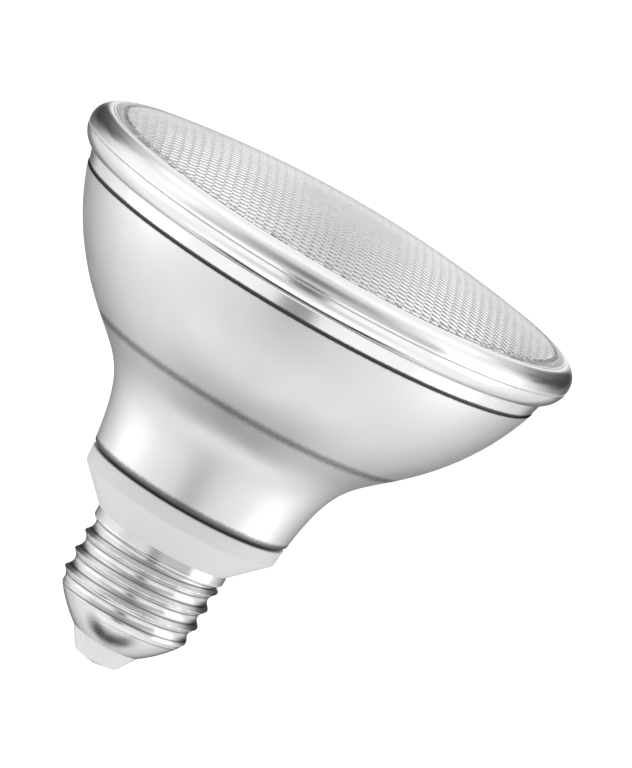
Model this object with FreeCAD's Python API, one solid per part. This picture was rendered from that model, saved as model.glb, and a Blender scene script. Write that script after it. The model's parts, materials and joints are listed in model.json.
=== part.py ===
"""Par spotlight bulb: a reflector lamp with a moulded glass front, an LED board and a driver on a screw cap.

Millimetres. +Z runs along the lamp's axis towards the lens. The origin is the tip of the centre contact.
The lamp is built as a stack along its axis, so each height below moves everything above it.
"""
import FreeCAD, Part

import math
import os

# Heights along the axis, each measured from the one before it
CONTACT_HEIGHT = 0.6
INSULATOR_HEIGHT = 3.8
TAPER_HEIGHT = 5.5
THREAD_LENGTH = 12.7
SKIRT_STEP_HEIGHT = 0.5
SKIRT_HEIGHT = 2.0
COLLAR_CONE_HEIGHT = 5.9
COLLAR_BAND_HEIGHT = 3.1
NECK_HEIGHT = 21.0
BOWL_HEIGHT = 22.6
BAND_HEIGHT = 2.6
FLANGE_DROP = 3.7
LENS_EDGE_RISE = 3.86

# Outer radii, and how far the radii between them are set in or out
RIM_RADIUS = 48.5
FLANGE_OVERHANG = 2.7
BAND_DRAFT = 0.7
CREASE_RADIUS = 30.0
NECK_RADIUS = 19.5
COLLAR_SETBACK = 0.2
COLLAR_FOOT_LIP = 0.4
SKIRT_SETBACK = 0.1
CONTACT_RADIUS = 3.4
INSULATOR_FOOT_LIP = 1.0
INSULATOR_FLARE = 2.2

# Screw thread of the cap: 7 turns to the inch, rolled in sheet
THREAD_PITCH = 3.629
THREAD_CREST_RADIUS = 13.1
THREAD_DEPTH = 1.08
THREAD_CREST_FLAT = 0.5
THREAD_VALLEY = 1.3
THREAD_FADE = 1.6
THREAD_START_DEG = 100.0
CAP_SHEET = 0.3
TAPER_BULGE = 0.24

# Glass bowl
GLASS_WALL = 2.3
NECK_EDGE = 0.9
NECK_DRAFT_DEG = 7.4
CREASE_SLOPE_DEG = 48.3
BOWL_LIP_SLOPE_DEG = 18.4
NECK_LOWER_PULL = 13.0
NECK_UPPER_PULL = 8.5
BOWL_LOWER_PULL = 9.4
BOWL_UPPER_PULL = 9.3
GROOVE_WIDTH = 0.55
GROOVE_DEPTH = 0.5
FLANGE_WIDTH = 5.0
FLANGE_FULLNESS = 0.64

# Glass front
LENS_SPHERE_RADIUS = 220.0
LENS_THICKNESS = 3.2
LENS_EDGE_REACH = 2.6
LENS_EDGE_FULLNESS = 0.71
LENS_LINE_WIDTH = 0.4
LENS_LINE_DEPTH = 0.2
LENS_WALL_LEAN = 1.0
WINDOW_ACROSS_CORNERS = 28.0
WINDOW_TURN_DEG = 34.0
WINDOW_RISE = 0.6
SEAL_THICKNESS = 0.3
SEAL_INSET = 0.25

# Collar with the driver housing
COLLAR_EDGE = 0.5
COLLAR_BAND_DRAFT = 0.25
COLLAR_WALL = 1.7
SPIGOT_HEIGHT = 15.5
CAP_PLUG_LENGTH = 12.6
BOND_GAP = 0.05
BOND_THICKNESS = 0.7
BOND_HEIGHT = 4.0
BOND_INSET = 0.5
PLUG_CLEARANCE = 0.25

# Cap inside
SHANK_RADIUS = 1.2
SHANK_LENGTH = 7.6
SHANK_CLEARANCE = 0.05
CONTACT_CROWN = 0.4
CONTACT_FLAT_RADIUS = 1.6
INSULATOR_INNER_HEIGHT = 1.8
INSULATOR_EDGE = 0.4
INSULATOR_CLEARANCE = 0.15
INSULATOR_TUBE_RADIUS = 2.4
INSULATOR_TUBE_HEIGHT = 1.8

# Light engine
SPREADER_THICKNESS = 3.0
SPREADER_SKIRT_HEIGHT = 4.0
SPREADER_SKIRT_WALL = 1.4
SPREADER_CLEARANCE = 0.2
SPREADER_MARGIN = 4.4
PAD_SETBACK = 0.4
PAD_THICKNESS = 0.4
LED_BOARD_THICKNESS = 1.5
LED_SIZE = 3.5
LED_HEIGHT = 0.9
LED_WINDOW = 2.7
LED_WINDOW_DEPTH = 0.2
LED_SPACING = 2.1
LED_RING_COUNT = 6
SCREW_HEAD_RADIUS = 2.1
SCREW_HEAD_HEIGHT = 1.5
SCREW_SHANK_RADIUS = 1.2
SCREW_LENGTH = 4.5
LED_SCREW_DISTANCE = 4.7
SCREW_EDGE_DISTANCE = 2.7
SCREW_HOLE_CLEARANCE = 0.05
SCREW_SLOT_WIDTH = 0.5
CONNECTOR_WIDTH = 6.0
CONNECTOR_DEPTH = 3.0
CONNECTOR_HEIGHT = 2.6
LED_CONNECTOR_DISTANCE = 3.6

# Driver board and its slotted rails
DRIVER_BOARD_THICKNESS = 1.6
DRIVER_BOARD_TOP_DROP = 6.0
DRIVER_BOARD_SPIGOT_GAP = 1.8
DRIVER_BOARD_PLUG_GAP = 1.35
DRIVER_BOARD_STEP = 0.3
DRIVER_BOARD_FOOT_RISE = 2.4
RAIL_WIDTH = 3.6
RAIL_GRIP = 1.0
RAIL_CLEARANCE = 0.1

# Parts on the driver board
CORE_WIDTH = 12.0
CORE_HEIGHT = 7.6
CORE_DEPTH = 4.6
CORE_LIMB = 2.0
CORE_POST = 3.4
CORE_RISE = 0.5
WINDING_CLEARANCE = 0.15
WINDING_BULGE = 1.6
ROUND_PART_SEAT = 0.05
INPUT_CAPACITOR_RADIUS = 4.0
INPUT_CAPACITOR_LENGTH = 11.0
OUTPUT_CAPACITOR_RADIUS = 3.15
OUTPUT_CAPACITOR_LENGTH = 9.0
CAPACITOR_OFFSET = 5.0
CHOKE_RADIUS = 2.6
CHOKE_LENGTH = 7.0
RESISTOR_RADIUS = 1.3
RESISTOR_LENGTH = 7.0
RESISTOR_LEAD_RADIUS = 0.3
RESISTOR_LEAD_REACH = 1.2
TONGUE_PART_OFFSET = 3.4
TONGUE_PART_RISE = 3.0
IC_SIZE = (4.0, 1.5, 5.0)
BRIDGE_SIZE = (4.2, 2.4, 4.8)
DIODE_SIZE = (2.6, 2.2, 4.4)
DIODE_RISE = 1.6

# Wires
LEAD_RADIUS = 0.45
LEAD_SPACING = 2.6
LEAD_DROP = 2.5
WIRE_SLOT_CLEARANCE = 0.5
CAP_LEAD_OFFSET = 2.5
CAP_LEAD_DROP = 2.6
CAP_LEAD_END_RUN = 1.8
SHELL_LEAD_DROP = 1.0
SHELL_LEAD_GAP = 0.15

# Stations on the axis
INSULATOR_Z = CONTACT_HEIGHT
SHELL_Z = INSULATOR_Z + INSULATOR_HEIGHT
THREAD_Z = SHELL_Z + TAPER_HEIGHT
SKIRT_STEP_Z = THREAD_Z + THREAD_LENGTH
SKIRT_Z = SKIRT_STEP_Z + SKIRT_STEP_HEIGHT
CAP_TOP_Z = SKIRT_Z + SKIRT_HEIGHT
COLLAR_BAND_Z = CAP_TOP_Z + COLLAR_CONE_HEIGHT
COLLAR_TOP_Z = COLLAR_BAND_Z + COLLAR_BAND_HEIGHT
CREASE_Z = COLLAR_TOP_Z + NECK_HEIGHT
GROOVE_Z = CREASE_Z + BOWL_HEIGHT
NOTCH_Z = GROOVE_Z + BAND_HEIGHT
SEAM_Z = NOTCH_Z + FLANGE_DROP

# Sizes that follow from the ones above
LENS_EDGE_RADIUS = RIM_RADIUS - LENS_EDGE_REACH
LENS_SAGITTA = LENS_SPHERE_RADIUS - math.sqrt(LENS_SPHERE_RADIUS ** 2 - LENS_EDGE_RADIUS ** 2)
CROWN_Z = SEAM_Z + LENS_EDGE_RISE + LENS_SAGITTA
NOTCH_RADIUS = RIM_RADIUS - FLANGE_OVERHANG
GROOVE_RADIUS = NOTCH_RADIUS - BAND_DRAFT
COLLAR_RADIUS = NECK_RADIUS - COLLAR_SETBACK
SKIRT_RADIUS = THREAD_CREST_RADIUS - SKIRT_SETBACK
COLLAR_FOOT_RADIUS = SKIRT_RADIUS + COLLAR_FOOT_LIP
INSULATOR_FOOT_RADIUS = CONTACT_RADIUS + INSULATOR_FOOT_LIP
INSULATOR_TOP_RADIUS = INSULATOR_FOOT_RADIUS + INSULATOR_FLARE
THREAD_ROOT_RADIUS = THREAD_CREST_RADIUS - THREAD_DEPTH
SHELL_ROOT_BORE = THREAD_ROOT_RADIUS - CAP_SHEET
NECK_BORE = NECK_RADIUS - GLASS_WALL
SPIGOT_RADIUS = NECK_BORE - BOND_THICKNESS - 2 * BOND_GAP
SPIGOT_BORE = SPIGOT_RADIUS - COLLAR_WALL
PLUG_RADIUS = SHELL_ROOT_BORE - PLUG_CLEARANCE
PLUG_BORE = PLUG_RADIUS - COLLAR_WALL
PLUG_Z = CAP_TOP_Z - CAP_PLUG_LENGTH
LED_RING_RADIUS = LED_SIZE + LED_SPACING
SCREW_OFFSET = LED_RING_RADIUS + LED_SCREW_DISTANCE
CONNECTOR_OFFSET = LED_RING_RADIUS + LED_CONNECTOR_DISTANCE
LED_BOARD_RADIUS = SCREW_OFFSET + SCREW_EDGE_DISTANCE
PAD_RADIUS = LED_BOARD_RADIUS - PAD_SETBACK
SPREADER_RADIUS = LED_BOARD_RADIUS + SPREADER_MARGIN
DRIVER_BOARD_UPPER_HALF = SPIGOT_BORE - DRIVER_BOARD_SPIGOT_GAP
DRIVER_BOARD_LOWER_HALF = PLUG_BORE - DRIVER_BOARD_PLUG_GAP
SPIGOT_TOP_Z = COLLAR_TOP_Z + SPIGOT_HEIGHT
SPREADER_TOP_Z = SPIGOT_TOP_Z + SPREADER_THICKNESS
PAD_TOP_Z = SPREADER_TOP_Z + PAD_THICKNESS
LED_BOARD_TOP_Z = PAD_TOP_Z + LED_BOARD_THICKNESS
SHANK_TOP_Z = INSULATOR_Z + SHANK_LENGTH
BOARD_TOP_Z = SPIGOT_TOP_Z - DRIVER_BOARD_TOP_DROP
BOARD_STEP_Z = COLLAR_BAND_Z + DRIVER_BOARD_STEP
BOARD_FOOT_Z = PLUG_Z + DRIVER_BOARD_FOOT_RISE
BOARD_FACE = DRIVER_BOARD_THICKNESS / 2
WINDING_HALF_DEPTH = CORE_DEPTH / 2 + WINDING_BULGE
TRANSFORMER_Y = -BOARD_FACE - WINDING_HALF_DEPTH


def point(radius, height):
    """A point of an outline: its distance from the axis and its height."""
    return FreeCAD.Vector(radius, 0, height)


def line(start, end):
    return Part.LineSegment(start, end).toShape()


def outline(*corners):
    """Straight edges from corner to corner."""
    return [line(a, b) for a, b in zip(corners, corners[1:])]


def lean(degrees):
    """Unit direction that leans outwards from the axis by an angle."""
    angle = math.radians(degrees)
    return point(math.sin(angle), math.cos(angle))


def leaning_curve(start, start_deg, start_pull, end, end_deg, end_pull):
    """Curve that leaves its start and reaches its end at the given leans; the pulls set its fullness."""
    curve = Part.BezierCurve()
    curve.setPoles([start, start + lean(start_deg) * start_pull, end - lean(end_deg) * end_pull, end])
    return curve


def arc(start, middle, end):
    return Part.Arc(start, middle, end).toShape()


def wall_points(curve, *shares):
    """Points at shares of a curve's length, set inwards from it by the thickness of the glass."""
    points = []
    for share in shares:
        along = curve.tangent(share)[0]
        points.append(curve.value(share) + point(-along.z, along.x) * GLASS_WALL)
    return points


def spun(edges):
    """Solid of revolution about the axis from a closed outline."""
    return Part.Face(Part.Wire(edges)).revolve(FreeCAD.Vector(0, 0, 0), FreeCAD.Vector(0, 0, 1), 360)


def ring(inner, outer, low, high):
    """Plain ring of rectangular section."""
    return spun(outline(point(inner, low), point(outer, low), point(outer, high), point(inner, high),
                        point(inner, low)))


def block(x_mid, y_low, z_low, width, depth, height):
    """Box centred on x_mid, growing in +Y and +Z."""
    return Part.makeBox(width, depth, height, FreeCAD.Vector(x_mid - width / 2, y_low, z_low))


def rod(radius, length, x, y, z):
    """Upright cylinder that stands on the point given."""
    return Part.makeCylinder(radius, length, FreeCAD.Vector(x, y, z))


def wire_along(radius, *points):
    """Stiff round wire through the points, with sharp bends."""
    section = Part.Wire(Part.makeCircle(radius, points[0], points[1] - points[0]))
    return Part.makePolygon(list(points)).makePipeShell([section], True, False, 1)


def reflector_bowl():
    """Glass neck and bowl in one piece, with a fine groove and the rim flange that carries the lens."""
    flange_z = SEAM_Z - SEAL_THICKNESS / 2
    flange_middle = point(NOTCH_RADIUS + (RIM_RADIUS - NOTCH_RADIUS) * FLANGE_FULLNESS,
                          flange_z - (flange_z - NOTCH_Z) * FLANGE_FULLNESS)
    notch = point(NOTCH_RADIUS, NOTCH_Z)
    rim = point(RIM_RADIUS, flange_z)
    neck_foot = point(NECK_RADIUS - NECK_EDGE, COLLAR_TOP_Z)
    neck_start = point(NECK_RADIUS, COLLAR_TOP_Z + NECK_EDGE)
    crease = point(CREASE_RADIUS, CREASE_Z)
    groove_low = point(GROOVE_RADIUS, GROOVE_Z - GROOVE_WIDTH / 2)
    groove_high = point(GROOVE_RADIUS, GROOVE_Z + GROOVE_WIDTH / 2)
    groove_in = point(-GROOVE_DEPTH, 0)
    neck = leaning_curve(neck_start, NECK_DRAFT_DEG, NECK_LOWER_PULL, crease, CREASE_SLOPE_DEG,
                         NECK_UPPER_PULL)
    bowl = leaning_curve(crease, CREASE_SLOPE_DEG, BOWL_LOWER_PULL, groove_low, BOWL_LIP_SLOPE_DEG,
                         BOWL_UPPER_PULL)
    edges = [line(neck_foot, neck_start), neck.toShape(), bowl.toShape()]
    edges += outline(groove_low, groove_low + groove_in, groove_high + groove_in, groove_high, notch)
    edges.append(arc(notch, flange_middle, rim))
    inside = [point(RIM_RADIUS - FLANGE_WIDTH, flange_z)]
    inside += wall_points(bowl, 1.0, 0.5)
    inside += wall_points(neck, 1.0, 0.6)
    inside.append(point(NECK_BORE, COLLAR_TOP_Z + NECK_EDGE))
    inside.append(point(NECK_BORE, COLLAR_TOP_Z))
    edges += outline(rim, *inside, neck_foot)
    return spun(edges)


def lens_sphere(depth):
    """Sphere of the lens's outer face, or of a face that lies a depth below it."""
    centre = FreeCAD.Vector(0, 0, CROWN_Z - LENS_SPHERE_RADIUS)
    return Part.makeSphere(LENS_SPHERE_RADIUS - depth, centre, FreeCAD.Vector(1, 0, 0))


def lens_height(radius, depth):
    """Height of such a face at a radius."""
    return CROWN_Z - LENS_SPHERE_RADIUS + math.sqrt((LENS_SPHERE_RADIUS - depth) ** 2 - radius ** 2)


def front_lens():
    """Pressed glass front: a shallow dome on a rounded flange, with a flat six-sided window inside."""
    flange_z = SEAM_Z + SEAL_THICKNESS / 2
    top_z = CROWN_Z + LENS_THICKNESS
    bulge_top = point(LENS_EDGE_RADIUS, lens_height(LENS_EDGE_RADIUS, 0))
    bulge_middle = point(LENS_EDGE_RADIUS + LENS_EDGE_REACH * LENS_EDGE_FULLNESS,
                         flange_z + (bulge_top.z - flange_z) * LENS_EDGE_FULLNESS)
    rim = point(RIM_RADIUS, flange_z)
    line_floor = bulge_top - point(LENS_LINE_WIDTH / 2, LENS_LINE_DEPTH)
    line_top = line_floor + point(-LENS_LINE_WIDTH, 2 * LENS_LINE_DEPTH)
    edges = outline(rim, point(0, flange_z), point(0, top_z), point(line_top.x, top_z), line_top, line_floor,
                    bulge_top)
    blank = spun(edges + [arc(bulge_top, bulge_middle, rim)]).common(lens_sphere(0))
    flange_inner = point(RIM_RADIUS - FLANGE_WIDTH, flange_z)
    field_radius = flange_inner.x - LENS_WALL_LEAN
    wall = point(field_radius, lens_height(field_radius, LENS_THICKNESS)) - flange_inner
    wall_foot = flange_inner - wall
    wall_top = flange_inner + wall * 2
    hollow = spun(outline(wall_foot, wall_top, point(wall_top.x, top_z), point(0, top_z), point(0, wall_foot.z),
                          wall_foot))
    window_z = CROWN_Z - LENS_THICKNESS - WINDOW_RISE
    reach = WINDOW_ACROSS_CORNERS / 2
    turns = [math.radians(60 * corner + WINDOW_TURN_DEG) for corner in range(7)]
    corners = [FreeCAD.Vector(reach * math.cos(turn), reach * math.sin(turn), window_z) for turn in turns]
    window = Part.Face(Part.makePolygon(corners)).extrude(FreeCAD.Vector(0, 0, LENS_THICKNESS))
    return blank.cut(hollow.common(lens_sphere(LENS_THICKNESS)).cut(window))


def lens_seal():
    """Bead of adhesive in the seam between the two glass flanges, set back a little from the rim."""
    return ring(RIM_RADIUS - FLANGE_WIDTH, RIM_RADIUS - SEAL_INSET, SEAM_Z - SEAL_THICKNESS / 2,
                SEAM_Z + SEAL_THICKNESS / 2)


def neck_cement():
    """Ring of cement that bonds the collar's spigot into the glass neck."""
    low = COLLAR_TOP_Z + BOND_INSET
    return ring(SPIGOT_RADIUS + BOND_GAP, NECK_BORE - BOND_GAP, low, low + BOND_HEIGHT)


def board_rail(side):
    """Slotted rail inside the housing that holds one long edge of the driver board."""
    height = BOARD_TOP_Z - BOARD_STEP_Z
    slot_end = DRIVER_BOARD_UPPER_HALF + RAIL_CLEARANCE
    inner = DRIVER_BOARD_UPPER_HALF - RAIL_GRIP
    outer = SPIGOT_BORE + COLLAR_WALL / 2
    slot_width = DRIVER_BOARD_THICKNESS + 2 * RAIL_CLEARANCE
    rail = block(side * (inner + outer) / 2, -RAIL_WIDTH / 2, BOARD_STEP_Z, outer - inner, RAIL_WIDTH, height)
    slot = block(side * (inner + slot_end) / 2, -slot_width / 2, BOARD_STEP_Z, slot_end - inner, slot_width,
                 height)
    return rail.cut(slot)


def base_collar():
    """White moulding: band and cone outside, a spigot up into the neck and a plug down into the cap."""
    edge = COLLAR_EDGE / 2
    body = spun(outline(
        point(PLUG_BORE, PLUG_Z),
        point(PLUG_RADIUS, PLUG_Z),
        point(PLUG_RADIUS, CAP_TOP_Z),
        point(COLLAR_FOOT_RADIUS - edge, CAP_TOP_Z),
        point(COLLAR_FOOT_RADIUS + edge, CAP_TOP_Z + 2 * edge),
        point(COLLAR_RADIUS - COLLAR_BAND_DRAFT, COLLAR_BAND_Z),
        point(COLLAR_RADIUS, COLLAR_TOP_Z),
        point(SPIGOT_RADIUS, COLLAR_TOP_Z),
        point(SPIGOT_RADIUS, SPIGOT_TOP_Z),
        point(SPIGOT_BORE, SPIGOT_TOP_Z),
        point(SPIGOT_BORE, COLLAR_BAND_Z),
        point(PLUG_BORE, CAP_TOP_Z + COLLAR_WALL),
        point(PLUG_BORE, PLUG_Z),
    ))
    return body.fuse([board_rail(-1), board_rail(1)])


def thread_ridge():
    """Helical ridge of the cap's right-hand thread, faded out at both ends."""
    root = THREAD_ROOT_RADIUS - CAP_SHEET / 2
    foot = (THREAD_PITCH - THREAD_VALLEY) / 2
    crest = THREAD_CREST_FLAT / 2
    start_z = THREAD_Z - THREAD_PITCH / 2
    section = Part.makePolygon([
        point(root, start_z - foot),
        point(THREAD_CREST_RADIUS, start_z - crest),
        point(THREAD_CREST_RADIUS, start_z + crest),
        point(root, start_z + foot),
        point(root, start_z - foot),
    ])
    helix = Part.makeHelix(THREAD_PITCH, THREAD_LENGTH + THREAD_PITCH, THREAD_ROOT_RADIUS)
    helix.translate(FreeCAD.Vector(0, 0, start_z))
    ridge = Part.Wire(helix.Edges).makePipeShell([section], True, True)
    ridge.rotate(FreeCAD.Vector(0, 0, 0), FreeCAD.Vector(0, 0, 1), THREAD_START_DEG)
    inside = THREAD_ROOT_RADIUS - CAP_SHEET
    outside = THREAD_CREST_RADIUS + THREAD_DEPTH
    envelope = spun(outline(
        point(inside, THREAD_Z),
        point(THREAD_ROOT_RADIUS, THREAD_Z),
        point(outside, THREAD_Z + THREAD_FADE),
        point(outside, SKIRT_STEP_Z - THREAD_FADE / 2),
        point(THREAD_ROOT_RADIUS, SKIRT_STEP_Z),
        point(inside, SKIRT_STEP_Z),
        point(inside, THREAD_Z),
    ))
    return ridge.common(envelope)


def taper_corners():
    """Outline of the shell's tapered end: its foot, its slightly full middle and its top."""
    foot = point(INSULATOR_TOP_RADIUS, SHELL_Z)
    top = point(THREAD_ROOT_RADIUS, THREAD_Z)
    return foot, (foot + top) * 0.5 + point(TAPER_BULGE, -TAPER_BULGE), top


def screw_shell():
    """Nickel-plated screw shell: tapered end, threaded barrel and a plain skirt, in thin sheet."""
    outside = list(taper_corners())
    outside.append(point(THREAD_ROOT_RADIUS, SKIRT_STEP_Z))
    outside.append(point(SKIRT_RADIUS, SKIRT_Z))
    outside.append(point(SKIRT_RADIUS, CAP_TOP_Z))
    inside = [corner - point(CAP_SHEET, 0) for corner in reversed(outside)]
    return spun(outline(*outside, *inside, outside[0])).fuse(thread_ridge())


def cap_insulator():
    """White insulator that closes the shell's end, with a tube round the contact's shank."""
    foot, middle, _ = taper_corners()
    slope = (middle.x - foot.x) / (middle.z - foot.z)
    neck = INSULATOR_TOP_RADIUS - CAP_SHEET - INSULATOR_CLEARANCE
    inner_z = SHELL_Z + INSULATOR_INNER_HEIGHT
    bore = SHANK_RADIUS + SHANK_CLEARANCE
    return spun(outline(
        point(bore, INSULATOR_Z),
        point(INSULATOR_FOOT_RADIUS - INSULATOR_EDGE, INSULATOR_Z),
        point(INSULATOR_FOOT_RADIUS, INSULATOR_Z + INSULATOR_EDGE),
        point(INSULATOR_TOP_RADIUS, SHELL_Z),
        point(neck, SHELL_Z),
        point(neck + slope * INSULATOR_INNER_HEIGHT, inner_z),
        point(INSULATOR_TUBE_RADIUS, inner_z),
        point(INSULATOR_TUBE_RADIUS, inner_z + INSULATOR_TUBE_HEIGHT),
        point(bore, inner_z + INSULATOR_TUBE_HEIGHT),
        point(bore, INSULATOR_Z),
    ))


def centre_contact():
    """Contact button under the insulator, a little crowned, with its shank up through the tube."""
    return spun(outline(
        point(0, 0),
        point(CONTACT_FLAT_RADIUS, 0),
        point(CONTACT_RADIUS, CONTACT_CROWN),
        point(CONTACT_RADIUS, INSULATOR_Z),
        point(SHANK_RADIUS, INSULATOR_Z),
        point(SHANK_RADIUS, SHANK_TOP_Z),
        point(0, SHANK_TOP_Z),
        point(0, 0),
    ))


def wire_slot(low, height):
    """Space cut through the light engine under the connector, for its two wires."""
    width = LEAD_SPACING + 2 * (LEAD_RADIUS + WIRE_SLOT_CLEARANCE)
    depth = 2 * (LEAD_RADIUS + WIRE_SLOT_CLEARANCE)
    return block(0, -CONNECTOR_OFFSET - depth / 2, low, width, depth, height)


def screw_holes(low, height):
    radius = SCREW_SHANK_RADIUS + SCREW_HOLE_CLEARANCE
    return [rod(radius, height, side * SCREW_OFFSET, 0, low) for side in (-1, 1)]


def pierced_disc(radius, low, thickness):
    """Disc with the holes for the two screws and the slot for the wires."""
    disc = rod(radius, thickness, 0, 0, low)
    return disc.cut(screw_holes(low, thickness) + [wire_slot(low, thickness)])


def heat_spreader():
    """Aluminium plate on the spigot, with a skirt that centres it in the bore."""
    low = SPIGOT_TOP_Z - SPREADER_SKIRT_HEIGHT
    outer = SPIGOT_BORE - SPREADER_CLEARANCE
    skirt = ring(outer - SPREADER_SKIRT_WALL, outer, low, SPIGOT_TOP_Z)
    plate = pierced_disc(SPREADER_RADIUS, SPIGOT_TOP_Z, SPREADER_THICKNESS)
    return plate.fuse(skirt.cut(wire_slot(low, SPREADER_SKIRT_HEIGHT)))


def thermal_pad():
    return pierced_disc(PAD_RADIUS, SPREADER_TOP_Z, PAD_THICKNESS)


def led_board():
    return pierced_disc(LED_BOARD_RADIUS, PAD_TOP_Z, LED_BOARD_THICKNESS)


def led_package(radius, turn_deg):
    """One square LED with a shallow window in its top."""
    package = block(radius, -LED_SIZE / 2, LED_BOARD_TOP_Z, LED_SIZE, LED_SIZE, LED_HEIGHT)
    window_z = LED_BOARD_TOP_Z + LED_HEIGHT - LED_WINDOW_DEPTH
    package = package.cut(block(radius, -LED_WINDOW / 2, window_z, LED_WINDOW, LED_WINDOW, LED_WINDOW_DEPTH))
    return package.rotate(FreeCAD.Vector(0, 0, 0), FreeCAD.Vector(0, 0, 1), turn_deg)


def led_packages():
    """One LED in the middle and a ring of LEDs round it."""
    packages = [led_package(0, 0)]
    for index in range(LED_RING_COUNT):
        packages.append(led_package(LED_RING_RADIUS, 360 * index / LED_RING_COUNT))
    return Part.makeCompound(packages)


def board_screw(x):
    """Slotted pan-head screw through the LED board and the pad into the spreader."""
    head = rod(SCREW_HEAD_RADIUS, SCREW_HEAD_HEIGHT, x, 0, LED_BOARD_TOP_Z)
    shank = rod(SCREW_SHANK_RADIUS, SCREW_LENGTH, x, 0, LED_BOARD_TOP_Z - SCREW_LENGTH)
    slot = block(x, -SCREW_HEAD_RADIUS, LED_BOARD_TOP_Z + SCREW_HEAD_HEIGHT / 2, SCREW_SLOT_WIDTH,
                 2 * SCREW_HEAD_RADIUS, SCREW_HEAD_HEIGHT)
    return head.cut(slot).fuse(shank)


def board_screws():
    return Part.makeCompound([board_screw(-SCREW_OFFSET), board_screw(SCREW_OFFSET)])


def board_connector():
    """Two-way wire connector on the LED board."""
    return block(0, -CONNECTOR_OFFSET - CONNECTOR_DEPTH / 2, LED_BOARD_TOP_Z, CONNECTOR_WIDTH,
                 CONNECTOR_DEPTH, CONNECTOR_HEIGHT)


def led_lead(side):
    """Wire from under the connector down through the slot to the driver board."""
    x = side * LEAD_SPACING / 2
    low = BOARD_TOP_Z - LEAD_DROP
    return wire_along(LEAD_RADIUS, FreeCAD.Vector(x, -CONNECTOR_OFFSET, LED_BOARD_TOP_Z),
                      FreeCAD.Vector(x, -CONNECTOR_OFFSET, low), FreeCAD.Vector(x, -BOARD_FACE, low))


def driver_board():
    """Upright board: wide between the rails, with a narrow tongue down into the cap."""
    upper = block(0, -BOARD_FACE, BOARD_STEP_Z, 2 * DRIVER_BOARD_UPPER_HALF, DRIVER_BOARD_THICKNESS,
                  BOARD_TOP_Z - BOARD_STEP_Z)
    tongue = block(0, -BOARD_FACE, BOARD_FOOT_Z, 2 * DRIVER_BOARD_LOWER_HALF, DRIVER_BOARD_THICKNESS,
                   BOARD_STEP_Z - BOARD_FOOT_Z)
    return upper.fuse(tongue).removeSplitter()


def transformer_core():
    """Ferrite core: a frame with a post down its middle."""
    low = BOARD_STEP_Z + CORE_RISE
    y_low = TRANSFORMER_Y - CORE_DEPTH / 2
    core = block(0, y_low, low, CORE_WIDTH, CORE_DEPTH, CORE_HEIGHT)
    window_width = CORE_WIDTH / 2 - CORE_LIMB - CORE_POST / 2
    window_mid = CORE_POST / 2 + window_width / 2
    windows = [block(side * window_mid, y_low, low + CORE_LIMB, window_width, CORE_DEPTH,
                     CORE_HEIGHT - 2 * CORE_LIMB) for side in (-1, 1)]
    return core.cut(windows)


def transformer_winding():
    """Taped winding round the core's post."""
    low = BOARD_STEP_Z + CORE_RISE + CORE_LIMB + WINDING_CLEARANCE
    height = CORE_HEIGHT - 2 * CORE_LIMB - 2 * WINDING_CLEARANCE
    width = CORE_WIDTH - 2 * CORE_LIMB - 2 * WINDING_CLEARANCE
    hole_width = CORE_POST + 2 * WINDING_CLEARANCE
    hole_depth = CORE_DEPTH + 2 * WINDING_CLEARANCE
    coil = block(0, TRANSFORMER_Y - WINDING_HALF_DEPTH, low, width, 2 * WINDING_HALF_DEPTH, height)
    return coil.cut(block(0, TRANSFORMER_Y - hole_depth / 2, low, hole_width, hole_depth, height))


def round_part(radius, length, x, low):
    """Cylindrical part that lies along the back of the driver board."""
    return rod(radius, length, x, BOARD_FACE + ROUND_PART_SEAT + radius, low)


def fusible_resistor():
    """Axial resistor on the board's tongue, its two leads bent back to the board."""
    x = -TONGUE_PART_OFFSET
    y = BOARD_FACE + ROUND_PART_SEAT + RESISTOR_RADIUS
    low = BOARD_FOOT_Z + TONGUE_PART_RISE
    body = rod(RESISTOR_RADIUS, RESISTOR_LENGTH, x, y, low)
    leads = []
    for end, way in ((low, -1), (low + RESISTOR_LENGTH, 1)):
        turn_z = end + way * RESISTOR_LEAD_REACH
        leads.append(wire_along(RESISTOR_LEAD_RADIUS, FreeCAD.Vector(x, y, end),
                                FreeCAD.Vector(x, y, turn_z), FreeCAD.Vector(x, BOARD_FACE, turn_z)))
    return body.fuse(leads)


def front_part(size, x, low):
    """Surface-mounted part on the front of the driver board."""
    width, depth, height = size
    return block(x, -BOARD_FACE - depth, low, width, depth, height)


def contact_lead():
    """Wire from the board's foot to the top of the centre contact's shank."""
    start = FreeCAD.Vector(-CAP_LEAD_OFFSET, 0, BOARD_FOOT_Z)
    return wire_along(LEAD_RADIUS, start, start - FreeCAD.Vector(0, 0, CAP_LEAD_DROP),
                      FreeCAD.Vector(0, 0, SHANK_TOP_Z + CAP_LEAD_END_RUN), FreeCAD.Vector(0, 0, SHANK_TOP_Z))


def shell_lead():
    """Wire from the board's foot, round the end of the plug, to the wall of the screw shell."""
    low = PLUG_Z - SHELL_LEAD_DROP
    return wire_along(LEAD_RADIUS, FreeCAD.Vector(CAP_LEAD_OFFSET, 0, BOARD_FOOT_Z),
                      FreeCAD.Vector(CAP_LEAD_OFFSET, 0, low),
                      FreeCAD.Vector(SHELL_ROOT_BORE - SHELL_LEAD_GAP, 0, low))


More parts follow.
